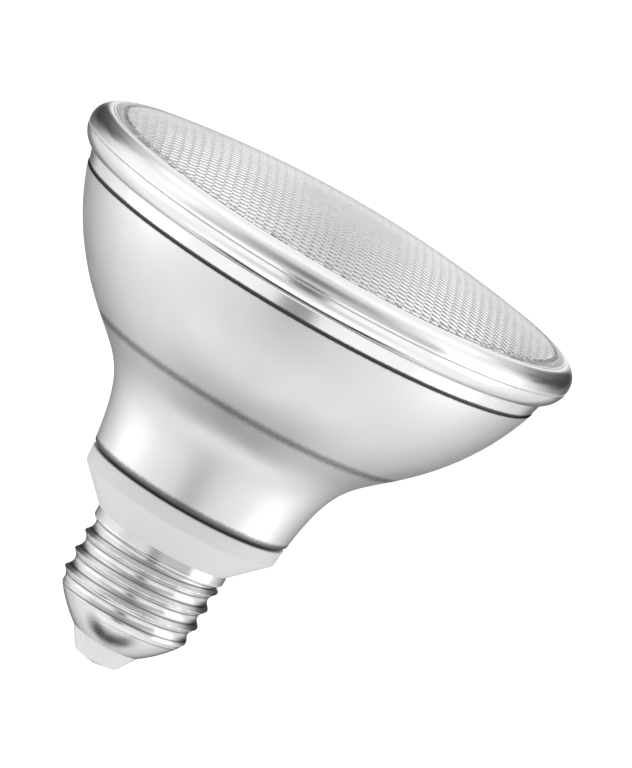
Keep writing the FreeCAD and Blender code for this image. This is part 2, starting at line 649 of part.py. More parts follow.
def main():
    os.makedirs("parts", exist_ok=True)
    back_low = BOARD_STEP_Z + CORE_RISE
    tongue_low = BOARD_FOOT_Z + TONGUE_PART_RISE
    parts = {
        "front_lens": front_lens(),
        "lens_seal": lens_seal(),
        "reflector_bowl": reflector_bowl(),
        "neck_cement": neck_cement(),
        "base_collar": base_collar(),
        "screw_shell": screw_shell(),
        "cap_insulator": cap_insulator(),
        "centre_contact": centre_contact(),
        "heat_spreader": heat_spreader(),
        "thermal_pad": thermal_pad(),
        "led_board": led_board(),
        "led_packages": led_packages(),
        "board_screws": board_screws(),
        "board_connector": board_connector(),
        "led_lead_positive": led_lead(1),
        "led_lead_negative": led_lead(-1),
        "driver_board": driver_board(),
        "transformer_core": transformer_core(),
        "transformer_winding": transformer_winding(),
        "input_capacitor": round_part(INPUT_CAPACITOR_RADIUS, INPUT_CAPACITOR_LENGTH, -CAPACITOR_OFFSET,
                                      back_low),
        "output_capacitor": round_part(OUTPUT_CAPACITOR_RADIUS, OUTPUT_CAPACITOR_LENGTH, CAPACITOR_OFFSET,
                                       back_low),
        "input_choke": round_part(CHOKE_RADIUS, CHOKE_LENGTH, TONGUE_PART_OFFSET, tongue_low),
        "fusible_resistor": fusible_resistor(),
        "control_chip": front_part(IC_SIZE, -TONGUE_PART_OFFSET, tongue_low),
        "bridge_rectifier": front_part(BRIDGE_SIZE, TONGUE_PART_OFFSET, tongue_low),
        "output_diode": front_part(DIODE_SIZE, TONGUE_PART_OFFSET, tongue_low + BRIDGE_SIZE[2] + DIODE_RISE),
        "contact_lead": contact_lead(),
        "shell_lead": shell_lead(),
    }
    for name, shape in parts.items():
        shape.exportStep(f"parts/{name}.step")
        print(name, "solids", len(shape.Solids), "valid", shape.isValid(), "volume", round(shape.Volume, 1))


main()
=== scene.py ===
"""Looks of the par spotlight bulb: glass front with its lenses, satin bowl, white collar, nickel screw cap.

Metres. Every turned piece takes its outline from the solid that it stands for, so it lies where the
solid does.
"""

import json
import math

import bmesh
import bpy
from mathutils import Matrix, Vector
from mathutils.geometry import delaunay_2d_cdt

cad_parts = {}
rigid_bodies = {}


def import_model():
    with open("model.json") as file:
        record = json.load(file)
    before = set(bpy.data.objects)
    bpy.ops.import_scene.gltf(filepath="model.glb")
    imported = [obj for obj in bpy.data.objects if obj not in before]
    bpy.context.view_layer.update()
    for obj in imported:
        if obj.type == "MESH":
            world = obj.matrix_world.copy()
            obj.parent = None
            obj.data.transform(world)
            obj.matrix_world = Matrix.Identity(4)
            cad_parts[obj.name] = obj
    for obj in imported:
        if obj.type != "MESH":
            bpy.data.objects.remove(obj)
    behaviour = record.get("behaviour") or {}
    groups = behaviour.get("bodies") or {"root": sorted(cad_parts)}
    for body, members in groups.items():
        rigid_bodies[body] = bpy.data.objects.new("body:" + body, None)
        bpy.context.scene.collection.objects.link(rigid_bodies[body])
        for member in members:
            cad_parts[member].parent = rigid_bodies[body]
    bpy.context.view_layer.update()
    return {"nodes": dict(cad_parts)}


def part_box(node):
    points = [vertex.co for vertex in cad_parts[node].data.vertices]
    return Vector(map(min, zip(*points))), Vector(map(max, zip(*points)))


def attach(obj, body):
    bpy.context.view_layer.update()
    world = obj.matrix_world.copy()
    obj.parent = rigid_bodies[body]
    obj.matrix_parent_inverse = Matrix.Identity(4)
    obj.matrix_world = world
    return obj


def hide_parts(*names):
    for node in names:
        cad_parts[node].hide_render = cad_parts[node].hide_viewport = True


MM = 0.001

# Camera: the lamp's axis leans in the picture, and the camera looks a little down on the front
CAMERA_TARGET = Vector((9.48, 0, 62.8)) * MM
CAMERA_DISTANCE = 2.5
CAMERA_ELEVATION = math.radians(8.45)
CAMERA_ROLL = math.radians(30.07)
CAMERA_CLIP = (0.1, 100)
SENSOR = 36.0
PICTURE_HEIGHT = 135.4 * MM

# Stage
FLOOR_Z = -0.25
FLOOR_SIZE = 40.0
FLOOR_COLOUR = (0.9, 0.9, 0.9)
FLOOR_GLOW = 0.4

# Noise in the materials: its detail, and the range that most of its values lie in
NOISE_DETAIL = 3.0
NOISE_RANGE = (0.3, 0.7)

# Silvering of the bowl and of the front's flange
SATIN = (0.76, 0.76, 0.76)
SATIN_TINT = (0.6, 0.6, 0.6)
POLISHED = (0.8, 0.8, 0.8)
RIM_SILVER = (0.84, 0.84, 0.84)
MIRROR = (0.95, 0.95, 0.95)

# Painted shade in the crease and at the neck's foot: shade, reach to full and to none, and how far the edge
# wanders
RING_GRAIN = 0.5 * MM
CREASE_HEIGHT = 55.75 * MM
CREASE_PAINTED_SHADE = (0.34, 0.34, 0.34)
CREASE_REACH = (0, 1.3 * MM)
CREASE_SPECKLE = 0.22 * MM
FOOT_PAINTED_SHADE = (0.18, 0.18, 0.18)
FOOT_REACH = (1.1 * MM, 2.0 * MM)
FOOT_SPECKLE = 0.1 * MM

# Groove under the bright band: painted shade by it and on its ground, and the least step inwards that marks
# it
GROOVE_PAINTED_SHADE = (0.2, 0.2, 0.2)
GROOVE_BLUR = 0.3 * MM
GROOVE_SPECKLE = 0.05 * MM
GROUND_PAINTED_SHADE = (0.08, 0.08, 0.08)
GROOVE_STEP = 0.2 * MM

# Order of the bowl's materials
SATIN_COAT, POLISHED_COAT, GROOVE_PAINTED_GROUND, MIRROR_COAT = range(4)

# Whites
WHITE_PLASTIC = (0.64, 0.64, 0.64)
WHITE_INSULATOR = (0.66, 0.66, 0.65)

# Cap metal, painted dark lines of shade and reflection, and their reach to full and to none in half turns of
# the thread
NICKEL = (0.7, 0.7, 0.69)
LINE_PAINTED_SHADE = (0.22, 0.22, 0.22)
LINE_REACH = (0.02, 0.14)

# Turned pieces
TURNS = 320
SMOOTH_STEPS = 4
SMOOTH_TURN_DEG = 20.0
SHARP_DEG = 28.0
WELD = 1e-6
CORNER_STEPS = 4
COLLAR_CORNER = 0.4 * MM
INSULATOR_CORNER = 0.4 * MM
BUTTON_CORNER = 0.3 * MM

# Small lenses on the inside of the front, in staggered rows round a plain window
LENSLET_PITCH = 2.0 * MM
LENSLET_REACH = LENSLET_PITCH / math.sqrt(3)
LENSLET_SAG = 0.1 * MM
LENSLET_STEPS = 3
ROW_PITCH = LENSLET_PITCH * math.sqrt(0.75)
LATTICE_NUDGE = 0.02 * MM
WINDOW_RINGS = 5
WINDOW_SIDES = 6
WINDOW_TURN = math.radians(34.0)
WINDOW_RISE = 0.07 * MM

# Front glass: least height and thickness of the wall round the lenses, depth of the ring line, and drop from
# the crown to the silvering
LENS_WALL = 1.0 * MM
LINE_DEPTH = 0.03 * MM
RIM_DROP = 4.7 * MM

# Glass, with radius, reach to full and reach to none of its matt rings
CLEAR_GLASS = (1.0, 1.0, 1.0)
WINDOW_GREY = (0.55, 0.55, 0.55)
FROSTED_RING = (43.65 * MM, 0.35 * MM, 0.5 * MM)
FROST_GRAIN = 0.5 * MM
FROST_ROUGHNESS = (0.1, 0.6)
MATT_RING = (45.8 * MM, 0.4 * MM, 0.5 * MM)
MATT_ROUGHNESS = 0.25

# Order of the front's materials
CLEAR, SILVERED, WINDOW = range(3)

# Cap
THREAD_PITCH = 3.629 * MM
THREAD_START = math.radians(100.0)
THREAD_CREST_SHARE = 0.06
THREAD_FADE = 1.6 * MM
THREAD_DEPTH = 1.08 * MM
THREAD_STEPS_PER_TURN = 30
TAPER_HEIGHT = 5.5 * MM
TAPER_BULGE = 0.3 * MM
TAPER_STEPS = 10
SKIRT_TOTAL = 2.5 * MM
SKIRT_HEIGHT = 2.0 * MM
SKIRT_SETBACK = 0.1 * MM
SHELL_CORNER = 0.8 * MM
CAP_SHEET = 0.3 * MM

# Pieces that keep their solid's shape: material, colour, roughness from and to, and a 1 for a metal
BOARD_WHITE = ("board_white", (0.8, 0.8, 0.78), 0.35, 0.5)
LOOKS = {
    "lens_seal": ("sealant", (0.86, 0.86, 0.86), 0.25, 0.4),
    "neck_cement": ("cement", (0.7, 0.68, 0.62), 0.8, 0.95),
    "heat_spreader": ("stamped_aluminium", (0.78, 0.78, 0.79), 0.3, 0.45, 1.0),
    "thermal_pad": ("thermal_pad", (0.42, 0.45, 0.47), 0.7, 0.85),
    "led_board": BOARD_WHITE,
    "led_packages": BOARD_WHITE,
    "board_screws": ("zinc_steel", (0.6, 0.6, 0.62), 0.25, 0.4, 1.0),
    "board_connector": ("connector_white", (0.75, 0.75, 0.72), 0.4, 0.5),
    "led_lead_positive": ("red_insulation", (0.5, 0.03, 0.02), 0.35, 0.5),
    "led_lead_negative": ("black_insulation", (0.02, 0.02, 0.02), 0.35, 0.5),
    "driver_board": ("green_board", (0.03, 0.2, 0.08), 0.35, 0.5),
    "transformer_core": ("ferrite", (0.05, 0.05, 0.05), 0.6, 0.75),
    "transformer_winding": ("yellow_tape", (0.75, 0.55, 0.08), 0.4, 0.5),
    "input_capacitor": ("capacitor_sleeve", (0.03, 0.04, 0.08), 0.3, 0.4),
    "output_capacitor": ("capacitor_sleeve_small", (0.03, 0.04, 0.08), 0.3, 0.4),
    "input_choke": ("choke_ferrite", (0.06, 0.06, 0.06), 0.6, 0.75),
    "fusible_resistor": ("resistor_coat", (0.2, 0.33, 0.24), 0.5, 0.6),
    "control_chip": ("black_epoxy", (0.02, 0.02, 0.02), 0.5, 0.6),
    "bridge_rectifier": ("black_epoxy_bridge", (0.02, 0.02, 0.02), 0.5, 0.6),
    "output_diode": ("black_epoxy_diode", (0.02, 0.02, 0.02), 0.5, 0.6),
    "contact_lead": ("white_insulation", (0.7, 0.7, 0.68), 0.35, 0.5),
    "shell_lead": ("white_insulation_shell", (0.7, 0.7, 0.68), 0.35, 0.5),
}
PHOSPHOR = ("phosphor", (0.85, 0.6, 0.12), 0.3, 0.4)
PHOSPHOR_DEPTH = 0.05 * MM
FACING_UP = 0.9
MOTTLE_SIZE = 2 * MM
MOTTLE_SHADE = 0.85
RELIEF_SIZE = 0.5 * MM
RELIEF_HEIGHT = 0.004 * MM

# Surround that the lamp mirrors: for each elevation in degrees, grey levels by azimuth in degrees, where 0 is
# the camera's side and 180 is behind the lamp
SURROUND_STRENGTH = 1.38
SURROUND = (
    (-90, ((0, 0.98),)),
    (-74, ((0, 0.84), (40, 0.98), (90, 1.06), (130, 1.0), (160, 1.0))),
    (-50, ((0, 0.5), (30, 0.62), (70, 0.8), (128, 0.8), (150, 0.6), (175, 0.3))),
    (-38, ((0, 0.2), (6, 0.25), (15, 0.84), (30, 0.88), (70, 0.84), (117, 0.8), (146, 0.6), (175, 0.15))),
    (-15, ((0, 0.12), (6, 0.16), (15, 0.92), (24, 0.95), (80, 0.84), (117, 0.8), (143, 0.6), (165, 0.15))),
    (-6, ((0, 0.52), (10, 0.54), (18, 0.62), (30, 0.62), (52, 0.6), (78, 0.84), (105, 0.84), (117, 0.72),
          (128, 0.48), (146, 0.2), (160, 0.1), (170, 0.1), (176, 0.4))),
    (4, ((0, 0.46), (26, 0.48), (52, 0.48), (72, 0.84), (105, 0.84), (122, 0.6), (131, 0.35), (140, 0.12),
         (150, 0.03), (170, 0.04), (176, 0.72))),
    (15, ((0, 0.22), (28, 0.38), (53, 0.62), (70, 0.9), (108, 0.8), (119, 0.6), (127, 0.1), (142, 0.05),
          (168, 0.06), (174, 0.82))),
    (25, ((0, 0.16), (28, 0.35), (50, 0.64), (70, 0.9), (112, 0.75), (124, 0.4), (136, 0.12), (162, 0.14),
          (172, 0.85))),
    (38, ((0, 0.2), (28, 0.38), (50, 0.64), (70, 0.85), (114, 0.7), (126, 0.5), (150, 0.5), (166, 0.74))),
    (50, ((0, 0.48), (30, 0.56), (60, 0.7), (112, 0.95), (160, 0.74))),
    (68, ((0, 0.58), (90, 0.9), (160, 0.78))),
    (88, ((0, 0.82),)),
)

# Panels over that: azimuth from and to, with the lamp's right positive, elevation from and to, level, and
# half of the soft edge's width
PANELS = (
    (11, 66, -14, 12, 0.48, 4),
    (69, 109, -22, 14, 1.5, 5),
    (-108, -68, -35, -16, 1.4, 5),
    (72, 108, -35, -16, 1.4, 5),
)

# Dark bar under the lamp, as stops over the direction's forward part and over its sideways part
BAR_LEVEL = 0.03
BAR_ACROSS = ((0.5, 0), (0.56, 1), (0.65, 1), (0.71, 0))
BAR_ALONG = ((0.22, 1), (0.48, 0))


def clear_scene():
    for thing in list(bpy.data.objects):
        bpy.data.objects.remove(thing)


# Shader nodes

def shader_of(material):
    return material.node_tree.nodes["Principled BSDF"]


def math_node(tree, operation, *values):
    """Result of an operation on values, each of which is a number or another node's output."""
    node = tree.nodes.new("ShaderNodeMath")
    node.operation = operation
    for socket, value in zip(node.inputs, values):
        if isinstance(value, (int, float)):
            socket.default_value = value
        else:
            tree.links.new(value, socket)
    return node.outputs[0]


def mixed(tree, factor, first, second):
    """Mix of two colours, each of which is a tuple or another node's output."""
    node = tree.nodes.new("ShaderNodeMix")
    node.data_type = "RGBA"
    tree.links.new(factor, node.inputs["Factor"])
    for name, value in (("A", first), ("B", second)):
        if isinstance(value, tuple):
            node.inputs[name].default_value = (*value, 1)
        else:
            tree.links.new(value, node.inputs[name])
    return node.outputs["Result"]


def coordinates(tree, space="Object"):
    """The three coordinates of a place in the piece's own space, or in another one."""
    place = tree.nodes.new("ShaderNodeTexCoord")
    parts = tree.nodes.new("ShaderNodeSeparateXYZ")
    tree.links.new(place.outputs[space], parts.inputs["Vector"])
    return parts.outputs


def noise(tree, size):
    """Noise in the piece's own space, whose features are about the size given."""
    place = tree.nodes.new("ShaderNodeTexCoord")
    pattern = tree.nodes.new("ShaderNodeTexNoise")
    pattern.inputs["Scale"].default_value = 1 / size
    pattern.inputs["Detail"].default_value = NOISE_DETAIL
    tree.links.new(place.outputs["Object"], pattern.inputs["Vector"])
    return pattern.outputs["Fac"]


def mapped(tree, value, source, target, interpolation="LINEAR"):
    """The value mapped from one range to another."""
    node = tree.nodes.new("ShaderNodeMapRange")
    node.interpolation_type = interpolation
    for name, number in zip(("From Min", "From Max", "To Min", "To Max"), (*source, *target)):
        node.inputs[name].default_value = number
    tree.links.new(value, node.inputs["Value"])
    return node.outputs["Result"]


def spread_noise(tree, size, low, high):
    """Noise spread over a range of values."""
    return mapped(tree, noise(tree, size), NOISE_RANGE, (low, high))


def falling(tree, value, inner, outer):
    """1 up to the inner value, falling softly to 0 at the outer one."""
    return mapped(tree, value, (inner, outer), (1, 0), "SMOOTHSTEP")


def apart(tree, value, place):
    """How far a value is from a place, in either direction."""
    return math_node(tree, "ABSOLUTE", math_node(tree, "SUBTRACT", value, place))


def near_radius(tree, radius, inner, outer):
    """1 within a distance of a circle round the lamp's axis, falling to 0 further off."""
    x, y, _ = coordinates(tree)
    squared = math_node(tree, "MULTIPLY_ADD", x, x, math_node(tree, "MULTIPLY", y, y))
    return falling(tree, apart(tree, math_node(tree, "SQRT", squared), radius), inner, outer)


def near_height(tree, height, reach, speckle):
    """1 within a distance of a height on the lamp, falling to 0 further off, with a speckled edge."""
    off = apart(tree, coordinates(tree)[2], height)
    wandering = math_node(tree, "ADD", off, spread_noise(tree, RING_GRAIN, -speckle, speckle))
    return falling(tree, wandering, *reach)


def near_groove(tree, groove):
    """1 by the groove, whose lowest and highest points are given, falling to 0 a little off it: where its
    painted shade goes.
    """
    low, high = groove
    half = (high - low) / 2
    return near_height(tree, (low + high) / 2, (half, half + GROOVE_BLUR), GROOVE_SPECKLE)


# Materials

def principled(name, colour, roughness, metallic=0.0, **values):
    """Material with one Principled shader; further values go by the socket's name with underscores."""
    made = bpy.data.materials.new(name)
    made.use_nodes = True
    shader = shader_of(made)
    shader.inputs["Base Color"].default_value = (*colour, 1)
    shader.inputs["Roughness"].default_value = roughness
    shader.inputs["Metallic"].default_value = metallic
    for key, value in values.items():
        shader.inputs[key.replace("_", " ")].default_value = value
    return made


def vary_roughness(material, size, low, high):
    """Roughness in spots of about a size, within a range."""
    tree = material.node_tree
    tree.links.new(spread_noise(tree, size, low, high), shader_of(material).inputs["Roughness"])


def vary_colour(material, size, first, second):
    """Colour in spots of about a size, from the first to the second."""
    tree = material.node_tree
    mottled = mixed(tree, spread_noise(tree, size, 0, 1), first, second)
    tree.links.new(mottled, shader_of(material).inputs["Base Color"])


def grain(material, size, height, strength=1.0):
    """Fine relief of the surface."""
    tree = material.node_tree
    bump = tree.nodes.new("ShaderNodeBump")
    bump.inputs["Strength"].default_value = strength
    bump.inputs["Distance"].default_value = height
    tree.links.new(noise(tree, size), bump.inputs["Height"])
    tree.links.new(bump.outputs["Normal"], shader_of(material).inputs["Normal"])


def shade_zones(material, coat, *zones):
    """The coat's colour, turning into a zone's shade where that zone's share is 1."""
    tree = material.node_tree
    shade = coat
    for share, zone_shade in zones:
        shade = mixed(tree, share, shade, zone_shade)
    tree.links.new(shade, shader_of(material).inputs["Base Color"])


def glass(name, colour, roughness):
    """Glass that lets light through to what is under it."""
    made = principled(name, colour, roughness, IOR=1.5, Transmission_Weight=1.0)
    nodes, links = made.node_tree.nodes, made.node_tree.links
    path = nodes.new("ShaderNodeLightPath")
    through = nodes.new("ShaderNodeBsdfTransparent")
    mix = nodes.new("ShaderNodeMixShader")
    links.new(path.outputs["Is Shadow Ray"], mix.inputs["Fac"])
    links.new(shader_of(made).outputs["BSDF"], mix.inputs[1])
    links.new(through.outputs["BSDF"], mix.inputs[2])
    links.new(mix.outputs["Shader"], nodes["Material Output"].inputs["Surface"])
    return made


def window_glass():
    """Glass of the plain window, finely matt and a little grey."""
    made = glass("window_glass", WINDOW_GREY, roughness=0.3)
    vary_roughness(made, size=1 * MM, low=0.26, high=0.34)
    grain(made, size=0.3 * MM, height=0.006 * MM)
    return made


def clear_glass():
    """Clear glass, frosted in a ring at the edge of the lenses and slightly matt on the round of its rim."""
    made = glass("clear_glass", CLEAR_GLASS, roughness=0.0)
    grain(made, size=3 * MM, height=0.004 * MM)
    tree = made.node_tree
    speckle = spread_noise(tree, FROST_GRAIN, *FROST_ROUGHNESS)
    frost = math_node(tree, "MULTIPLY", near_radius(tree, *FROSTED_RING), speckle)
    matt = math_node(tree, "MULTIPLY", near_radius(tree, *MATT_RING), MATT_ROUGHNESS)
    tree.links.new(math_node(tree, "MAXIMUM", frost, matt), shader_of(made).inputs["Roughness"])
    return made


def satin_silver(neck_foot, groove):
    """Satin silvering, with painted shade in the crease over the neck, at the neck's foot and by the groove.
    """
    made = principled("satin_silver", SATIN, roughness=0.42, metallic=1.0, Specular_Tint=(*SATIN_TINT, 1))
    vary_roughness(made, size=6 * MM, low=0.38, high=0.44)
    grain(made, size=0.35 * MM, height=0.006 * MM, strength=0.5)
    tree = made.node_tree
    # Painted shade: darker rings in the crease over the neck, at the neck's foot and by the groove
    crease = near_height(tree, CREASE_HEIGHT, CREASE_REACH, CREASE_SPECKLE)
    foot = near_height(tree, neck_foot, FOOT_REACH, FOOT_SPECKLE)
    by_groove = near_groove(tree, groove)
    shade_zones(made, SATIN, (crease, CREASE_PAINTED_SHADE), (foot, FOOT_PAINTED_SHADE), (by_groove, GROOVE_PAINTED_SHADE))
    return made


def polished_silver(groove):
    """Polished silvering of the band and the flange, with painted shade by the groove."""
    made = principled("polished_silver", POLISHED, roughness=0.13, metallic=1.0)
    vary_roughness(made, size=5 * MM, low=0.1, high=0.17)
    # Painted shade: a darker ring by the groove
    shade_zones(made, POLISHED, (near_groove(made.node_tree, groove), GROOVE_PAINTED_SHADE))
    return made


def rim_silver():
    """Silvering on the outside of the front's flange."""
    made = principled("rim_silver", RIM_SILVER, roughness=0.18, metallic=1.0)
    vary_roughness(made, size=0.5 * MM, low=0.14, high=0.22)
    grain(made, size=0.2 * MM, height=0.004 * MM, strength=0.6)
    return made


def mirror_silver():
    """Silvering inside the bowl."""
    made = principled("mirror_silver", MIRROR, roughness=0.08, metallic=1.0)
    vary_roughness(made, size=5 * MM, low=0.05, high=0.12)
    return made


def painted_groove_shade():
    """Ground of the groove, painted dark as shade."""
    made = principled("painted_groove_shade", GROUND_PAINTED_SHADE, roughness=0.5)
    vary_roughness(made, size=1 * MM, low=0.4, high=0.6)
    return made


def white_plastic():
    made = principled("white_plastic", WHITE_PLASTIC, roughness=0.42)
    vary_roughness(made, size=4 * MM, low=0.38, high=0.48)
    grain(made, size=0.3 * MM, height=0.006 * MM, strength=0.6)
    return made


def insulator_white():
    made = principled("white_insulator", WHITE_INSULATOR, roughness=0.22)
    vary_roughness(made, size=3 * MM, low=0.18, high=0.28)
    return made


def nickel():
    made = principled("nickel_plated_brass", NICKEL, roughness=0.2, metallic=1.0)
    vary_roughness(made, size=3 * MM, low=0.16, high=0.24)
    grain(made, size=0.25 * MM, height=0.004 * MM, strength=0.5)
    return made


def threaded_nickel(low, high):
    """Nickel with fine painted dark lines of shade and reflection along the thread's crests and valleys."""
    made = nickel()
    tree = made.node_tree
    x, y, z = coordinates(tree)
    around = math_node(tree, "DIVIDE", math_node(tree, "ARCTAN2", y, x), math.tau)
    turns = math_node(tree, "SUBTRACT", math_node(tree, "DIVIDE", z, THREAD_PITCH), around)
    turns = math_node(tree, "ADD", turns, THREAD_START / math.tau - low / THREAD_PITCH)
    in_half_turn = math_node(tree, "FRACT", math_node(tree, "MULTIPLY", turns, 2))
    # Painted lines of shade and dark reflection along the thread's crests and valleys
    line = falling(tree, apart(tree, in_half_turn, 0.5), *LINE_REACH)
    half = (high - low) / 2
    on_thread = falling(tree, apart(tree, z, (low + high) / 2), half, half + THREAD_FADE)
    shade_zones(made, NICKEL, (math_node(tree, "MULTIPLY", line, on_thread), LINE_PAINTED_SHADE))
    return made


def plain(name, colour, low, high, metallic=0.0):
    """Hidden or small part: a little mottled in colour and gloss, with fine relief."""
    made = principled(name, colour, (low + high) / 2, metallic)
    vary_colour(made, MOTTLE_SIZE, tuple(channel * MOTTLE_SHADE for channel in colour), colour)
    vary_roughness(made, MOTTLE_SIZE, low, high)
    grain(made, RELIEF_SIZE, RELIEF_HEIGHT, strength=0.5)
    return made


# Outlines

def section_links(mesh):
    """Places (radius, height) of the half-plane y = 0, x > 0, in steps of WELD, each with those beside it."""
    places = {}
    for vertex in mesh.vertices:
        if abs(vertex.co.y) < 2 * WELD and vertex.co.x > -WELD:
            places[vertex.index] = (round(vertex.co.x / WELD), round(vertex.co.z / WELD))
    beside = {}
    for edge in mesh.edges:
        first, second = (places.get(index) for index in edge.vertices)
        if first is not None and second is not None and first != second:
            beside.setdefault(first, set()).add(second)
            beside.setdefault(second, set()).add(first)
    return beside


def outline_of(node):
    """Outline of a turned solid, in order, as points (radius, height)."""
    beside = section_links(node.data)
    ends = [place for place in beside if len(beside[place]) == 1]
    path = [min(ends or beside, key=lambda place: (place[1], -place[0]))]
    while onward := beside[path[-1]].difference(path):
        path.append(max(onward))
    return [(radius * WELD, height * WELD) for radius, height in path]


def turn_at(before, here, after):
    """Angle by which a path turns at a point, in degrees."""
    first = Vector((here[0] - before[0], here[1] - before[1]))
    second = Vector((after[0] - here[0], after[1] - here[1]))
    return abs(math.degrees(first.angle_signed(second)))


def between(before, start, end, after, share):
    """Point on the smooth curve from start to end that fits the points before and after them."""
    return tuple(0.5 * (2 * start + (end - before) * share
                        + (2 * before - 5 * start + 4 * end - after) * share ** 2
                        + (3 * start - before - 3 * end + after) * share ** 3))


def bent(start, middle, end, share):
    """Point on the curve from start to end that bends towards the middle."""
    return tuple(start * (1 - share) ** 2 + middle * 2 * share * (1 - share) + end * share ** 2)


def eased(points):
    """The path with more points on its curved stretches, and its corners kept."""
    last = len(points) - 1
    corner = [index in (0, last) or turn_at(*points[index - 1:index + 2]) > SMOOTH_TURN_DEG
              for index in range(last + 1)]
    made = []
    for index in range(last):
        start, end = Vector(points[index]), Vector(points[index + 1])
        before = start * 2 - end if corner[index] else Vector(points[index - 1])
        after = end * 2 - start if corner[index + 1] else Vector(points[index + 2])
        steps = 1 if corner[index] and corner[index + 1] else SMOOTH_STEPS
        made += [between(before, start, end, after, step / steps) for step in range(steps)]
    return made + [points[last]]


def filled(points, depth):
    """The path with each single point that dips under its neighbours raised to a small depth."""
    made = [points[0]]
    for before, here, after in zip(points, points[1:], points[2:]):
        dips = here[1] < before[1] and here[1] < after[1]
        made.append((here[0], min(before[1], after[1]) - depth) if dips else here)
    return made + [points[-1]]


def rounded(points, radius):
    """The path with its corners rounded, never by more than a third of the shorter side."""
    made = [points[0]]
    for before, here, after in zip(points, points[1:], points[2:]):
        if turn_at(before, here, after) < SMOOTH_TURN_DEG:
            made.append(here)
            continue
        corner, back, onward = Vector(here), Vector(before) - Vector(here), Vector(after) - Vector(here)
        cut = min(radius, back.length / 3, onward.length / 3)
        start, end = corner + back.normalized() * cut, corner + onward.normalized() * cut
        made += [bent(start, corner, end, step / CORNER_STEPS) for step in range(CORNER_STEPS + 1)]
    return made + [points[-1]]


def bulged(start, end, height):
    """Points of a shallow curve that is a height off the straight line at its middle; the end is left out."""
    start, end = Vector(start), Vector(end)
    middle = (start + end) / 2 - (end - start).normalized().orthogonal() * height * 2
    return [bent(start, middle, end, step / TAPER_STEPS) for step in range(TAPER_STEPS)]


def finely(path, step):
    """The path with points no further apart than a step."""
    made = []
    for start, end in zip(path, path[1:]):
        parts = max(1, math.ceil(math.dist(start, end) / step))
        made += [tuple(a + (b - a) * part / parts for a, b in zip(start, end)) for part in range(parts)]
    return made + [path[-1]]


# Turned shapes

def mesh_piece(name, builder, materials):
    """Object from a bmesh that rides on the lamp, with its faces outwards and smooth but for sharp edges."""
    bmesh.ops.recalc_face_normals(builder, faces=builder.faces)
    mesh = bpy.data.meshes.new(name)
    builder.to_mesh(mesh)
    builder.free()
    for material in materials:
        mesh.materials.append(material)
    mesh.shade_smooth()
    mesh.set_sharp_from_angle(angle=math.radians(SHARP_DEG))
    made = bpy.data.objects.new(name, mesh)
    bpy.context.scene.collection.objects.link(made)
    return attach(made, "root")


def turned_ring(builder, radius, height):
    """One ring of vertices, or a single vertex on the axis."""
    if radius < WELD:
        return [builder.verts.new((0, 0, height))]
    ring = []
    for index in range(TURNS):
        angle = math.tau * index / TURNS
        ring.append(builder.verts.new((radius * math.cos(angle), radius * math.sin(angle), height)))
    return ring


def join_rings(builder, low, high, material_index):
    """Faces between two rings, either of which may be a single vertex."""
    count = max(len(low), len(high))
    for index in range(count):
        onward = (index + 1) % count
        corners = (low[index % len(low)], low[onward % len(low)],
                   high[onward % len(high)], high[index % len(high)])
        unique = list(dict.fromkeys(corners))
        if len(unique) > 2:
            builder.faces.new(unique).material_index = material_index


def first_material(_stretch):
    """Material index on a piece that has one material."""
    return 0


def join_loop(builder, rings, index_at=first_material):
    """Faces from each ring to the next, and from the last to the first; index_at gives their material."""
    for stretch, (low, high) in enumerate(zip(rings, rings[1:] + rings[:1])):
        join_rings(builder, low, high, index_at(stretch))


def turned(name, points, materials, index_at=first_material):
    """Closed piece of revolution from its outline; index_at gives each stretch's material."""
    builder = bmesh.new()
    join_loop(builder, [turned_ring(builder, *place) for place in points], index_at)
    return mesh_piece(name, builder, materials)


# Bowl

def groove_heights(outside):
    """Lowest and highest point of the groove: where the outline steps straight inwards and out again."""
    steps = [first[1] for first, second in zip(outside, outside[1:])
             if abs(second[1] - first[1]) < WELD and abs(second[0] - first[0]) > GROOVE_STEP]
    return min(steps), max(steps)


def bowl_piece(frame):
    """Glass bowl: satin outside, a polished band and flange above the groove, whose ground is painted dark as
    shade, mirror inside.
    """
    points = eased(outline_of(frame["nodes"]["reflector_bowl"]))
    rim = max(range(len(points)), key=lambda index: points[index][0])
    neck_foot = min(height for _, height in points)
    groove = groove_heights(points[:rim])
    materials = [satin_silver(neck_foot, groove), polished_silver(groove), painted_groove_shade(), mirror_silver()]

    def index_at(stretch):
        if stretch >= rim:
            return MIRROR_COAT
        height = (points[stretch][1] + points[stretch + 1][1]) / 2
        # The groove's ground takes the material with the painted shade
        if groove[0] < height < groove[1]:
            return GROOVE_PAINTED_GROUND
        return POLISHED_COAT if height > groove[1] else SATIN_COAT

    made = turned("bowl_glass", points, materials, index_at)
    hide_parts("reflector_bowl")
    return made


# Front glass

def lattice_cell(x, y):
    """Column and row of the small lens over a point, and the point's distance from its middle."""
    along = (x * math.cos(WINDOW_TURN) + y * math.sin(WINDOW_TURN)) / LENSLET_PITCH
    across = (y * math.cos(WINDOW_TURN) - x * math.sin(WINDOW_TURN)) / ROW_PITCH
    column, row = along - across / 2, across
    third = -column - row
    cell = [round(column), round(row), round(third)]
    off = [abs(cell[0] - column), abs(cell[1] - row), abs(cell[2] - third)]
    if off[0] > off[1] and off[0] > off[2]:
        cell[0] = -cell[1] - cell[2]
    elif off[1] > off[2]:
        cell[1] = -cell[0] - cell[2]
    column_off, row_off = column - cell[0], row - cell[1]
    distance = LENSLET_PITCH * math.sqrt(column_off ** 2 + row_off ** 2 + column_off * row_off)
    return cell[0], cell[1], distance


def in_window(x, y):
    """True inside the plain six-sided window, whose edge follows the small lenses round it."""
    for side in range(WINDOW_SIDES):
        angle = math.tau * side / WINDOW_SIDES
        nudged = (x + LATTICE_NUDGE * math.cos(angle), y + LATTICE_NUDGE * math.sin(angle))
        column, row, _ = lattice_cell(*nudged)
        if max(abs(column), abs(row), abs(column + row)) > WINDOW_RINGS:
            return False
    return True


